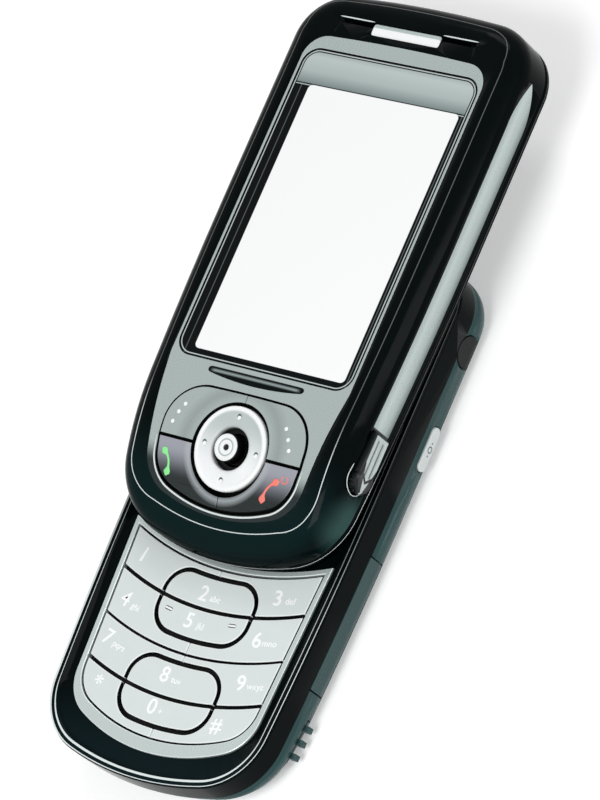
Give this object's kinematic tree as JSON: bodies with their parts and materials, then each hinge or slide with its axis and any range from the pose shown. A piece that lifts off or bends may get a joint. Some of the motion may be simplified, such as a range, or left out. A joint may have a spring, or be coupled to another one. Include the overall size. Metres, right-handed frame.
{
  "type": "slide mobile phone",
  "caption": "Slide phone shown open: display half rides on a sprung rail over a keypad half, with pressable keys, a rocking five-way key and hinged socket covers.",
  "frame": {"origin": "middle of the keypad half's flat back, on the face it rests on", "axes": "+X to the phone's right side seen from the front, +Y to its top end, +Z out of its front; drawn slid open"},
  "size_m": [0.0487, 0.1393, 0.0232],
  "materials": {
    "black_gloss": "gloss black lacquer",
    "rear_grey": "grey metallic lacquer",
    "fascia_grey": "light grey metallic paint",
    "silver_plastic": "silver paint",
    "chrome_trim": "bright plated",
    "lens_clear": "clear",
    "display_white": "white panel",
    "frame_dark": "moulded",
    "key_pale": "pale satin",
    "call_lilac": "lavender grey",
    "silicone": "translucent silicone",
    "board_green": "solder mask",
    "steel": "pressed sheet",
    "spring_steel": "wire",
    "shoe_plastic": "low-friction moulding",
    "flex_orange": "polyimide film",
    "battery_grey": "film wrapped",
    "copper": "gold flashed",
    "cover_rubber": "soft black",
    "lens_dark": "tinted"
  },
  "bodies": {
    "base": {"base_front_housing": "black_gloss", "base_rear_housing": "rear_grey", "keypad_frame": "silver_plastic", "key_mat": "silicone", "dome_sheet": "silicone", "main_board": "board_green", "battery": "battery_grey", "sim_holder": "steel", "battery_contacts": "copper", "headset_jack": "frame_dark", "io_connector": "steel", "carriage_plate": "steel", "slide_shoes": "shoe_plastic", "assist_spring": "spring_steel", "flex_cable": "flex_orange", "camera_module": "frame_dark", "camera_window": "lens_dark", "loudspeaker": "frame_dark", "vibration_motor": "steel", "microphone": "steel", "antenna": "copper", "base_screws": "steel"},
    "slider": {"slider_front_housing": "black_gloss", "side_trims": "chrome_trim", "fascia_plate": "fascia_grey", "status_bar": "frame_dark", "display_lens": "lens_clear", "display_module": "display_white", "display_frame": "frame_dark", "earpiece_bar": "chrome_trim", "earpiece_speaker": "frame_dark", "slider_rear_cover": "black_gloss", "slide_rail": "steel", "slider_screws": "steel", "slider_board": "board_green", "upper_key_mat": "silicone"},
    "side_key": {"side_key": "silver_plastic"},
    "soft_key_left": {"soft_key_left": "key_pale"},
    "soft_key_right": {"soft_key_right": "key_pale"},
    "call_key": {"call_key": "call_lilac"},
    "end_key": {"end_key": "call_lilac"},
    "nav_pad": {"nav_pad": "silicone"},
    "nav_ring": {"nav_ring": "key_pale"},
    "nav_knob": {"nav_knob": "chrome_trim"},
    "camera_key": {"camera_key": "silver_plastic"},
    "jack_cover": {"jack_cover": "cover_rubber"},
    "port_cover": {"port_cover": "rear_grey"},
    "battery_cover": {"battery_cover": "rear_grey"},
    "key_1": {"key_1": "key_pale"},
    "key_2": {"key_2": "key_pale"},
    "key_3": {"key_3": "key_pale"},
    "key_4": {"key_4": "key_pale"},
    "key_5": {"key_5": "key_pale"},
    "key_6": {"key_6": "key_pale"},
    "key_7": {"key_7": "key_pale"},
    "key_8": {"key_8": "key_pale"},
    "key_9": {"key_9": "key_pale"},
    "key_star": {"key_star": "key_pale"},
    "key_0": {"key_0": "key_pale"},
    "key_hash": {"key_hash": "key_pale"}
  },
  "joints": [
    {"name": "slider_slide", "type": "slide", "parent": "base", "child": "slider", "axis": [0, -1, 0], "range_m": [0, 0.0392], "deforming": ["assist_spring", "flex_cable"]},
    {"name": "key_1_press", "type": "slide", "parent": "base", "child": "key_1", "axis": [0, 0, -1], "range_m": [0, 0.00035], "stiffness_N_per_m": 1500},
    {"name": "key_2_press", "type": "slide", "parent": "base", "child": "key_2", "axis": [0, 0, -1], "range_m": [0, 0.00035], "stiffness_N_per_m": 1500},
    {"name": "key_3_press", "type": "slide", "parent": "base", "child": "key_3", "axis": [0, 0, -1], "range_m": [0, 0.00035], "stiffness_N_per_m": 1500},
    {"name": "key_4_press", "type": "slide", "parent": "base", "child": "key_4", "axis": [0, 0, -1], "range_m": [0, 0.00035], "stiffness_N_per_m": 1500},
    {"name": "key_5_press", "type": "slide", "parent": "base", "child": "key_5", "axis": [0, 0, -1], "range_m": [0, 0.00035], "stiffness_N_per_m": 1500},
    {"name": "key_6_press", "type": "slide", "parent": "base", "child": "key_6", "axis": [0, 0, -1], "range_m": [0, 0.00035], "stiffness_N_per_m": 1500},
    {"name": "key_7_press", "type": "slide", "parent": "base", "child": "key_7", "axis": [0, 0, -1], "range_m": [0, 0.00035], "stiffness_N_per_m": 1500},
    {"name": "key_8_press", "type": "slide", "parent": "base", "child": "key_8", "axis": [0, 0, -1], "range_m": [0, 0.00035], "stiffness_N_per_m": 1500},
    {"name": "key_9_press", "type": "slide", "parent": "base", "child": "key_9", "axis": [0, 0, -1], "range_m": [0, 0.00035], "stiffness_N_per_m": 1500},
    {"name": "key_star_press", "type": "slide", "parent": "base", "child": "key_star", "axis": [0, 0, -1], "range_m": [0, 0.00035], "stiffness_N_per_m": 1500},
    {"name": "key_0_press", "type": "slide", "parent": "base", "child": "key_0", "axis": [0, 0, -1], "range_m": [0, 0.00035], "stiffness_N_per_m": 1500},
    {"name": "key_hash_press", "type": "slide", "parent": "base", "child": "key_hash", "axis": [0, 0, -1], "range_m": [0, 0.00035], "stiffness_N_per_m": 1500},
    {"name": "soft_key_left_press", "type": "slide", "parent": "slider", "child": "soft_key_left", "axis": [0, 0.202, -0.9794], "range_m": [0, 0.0003], "stiffness_N_per_m": 1500},
    {"name": "soft_key_right_press", "type": "slide", "parent": "slider", "child": "soft_key_right", "axis": [0, 0.202, -0.9794], "range_m": [0, 0.0003], "stiffness_N_per_m": 1500},
    {"name": "call_key_press", "type": "slide", "parent": "slider", "child": "call_key", "axis": [0, 0.202, -0.9794], "range_m": [0, 0.0003], "stiffness_N_per_m": 1500},
    {"name": "end_key_press", "type": "slide", "parent": "slider", "child": "end_key", "axis": [0, 0.202, -0.9794], "range_m": [0, 0.0003], "stiffness_N_per_m": 1500},
    {"name": "nav_tilt_up_down", "type": "hinge", "parent": "slider", "child": "nav_pad", "pos_m": [0, 0.00612, 0.0199], "axis": [1, 0, 0], "range_deg": [-2, 2], "stiffness_Nm_per_rad": 0.2},
    {"name": "nav_tilt_left_right", "type": "hinge", "parent": "nav_pad", "child": "nav_ring", "pos_m": [0, 0.00612, 0.0199], "axis": [0, 0.9794, 0.202], "range_deg": [-2, 2], "stiffness_Nm_per_rad": 0.2},
    {"name": "nav_knob_press", "type": "slide", "parent": "slider", "child": "nav_knob", "axis": [0, 0.202, -0.9794], "range_m": [0, 0.0003], "stiffness_N_per_m": 1500},
    {"name": "side_key_rock", "type": "hinge", "parent": "slider", "child": "side_key", "pos_m": [0.0228, 0.0103, 0.0166], "axis": [0, 0, 1], "range_deg": [-2, 2], "stiffness_Nm_per_rad": 0.2},
    {"name": "camera_key_press", "type": "slide", "parent": "base", "child": "camera_key", "axis": [-1, 0, 0], "range_m": [0, 0.0003], "stiffness_N_per_m": 1500},
    {"name": "jack_cover_hinge", "type": "hinge", "parent": "base", "child": "jack_cover", "pos_m": [0.0242, 0.0395, 0.004], "axis": [0, 0, 1], "range_deg": [0, 100]},
    {"name": "port_cover_hinge", "type": "hinge", "parent": "base", "child": "port_cover", "pos_m": [0.0242, -0.0262, 0.0043], "axis": [0, 0, 1], "range_deg": [-110, 0]},
    {"name": "battery_cover_slide", "type": "slide", "parent": "base", "child": "battery_cover", "axis": [0, -1, 0], "range_m": [0, 0.005]}
  ]
}
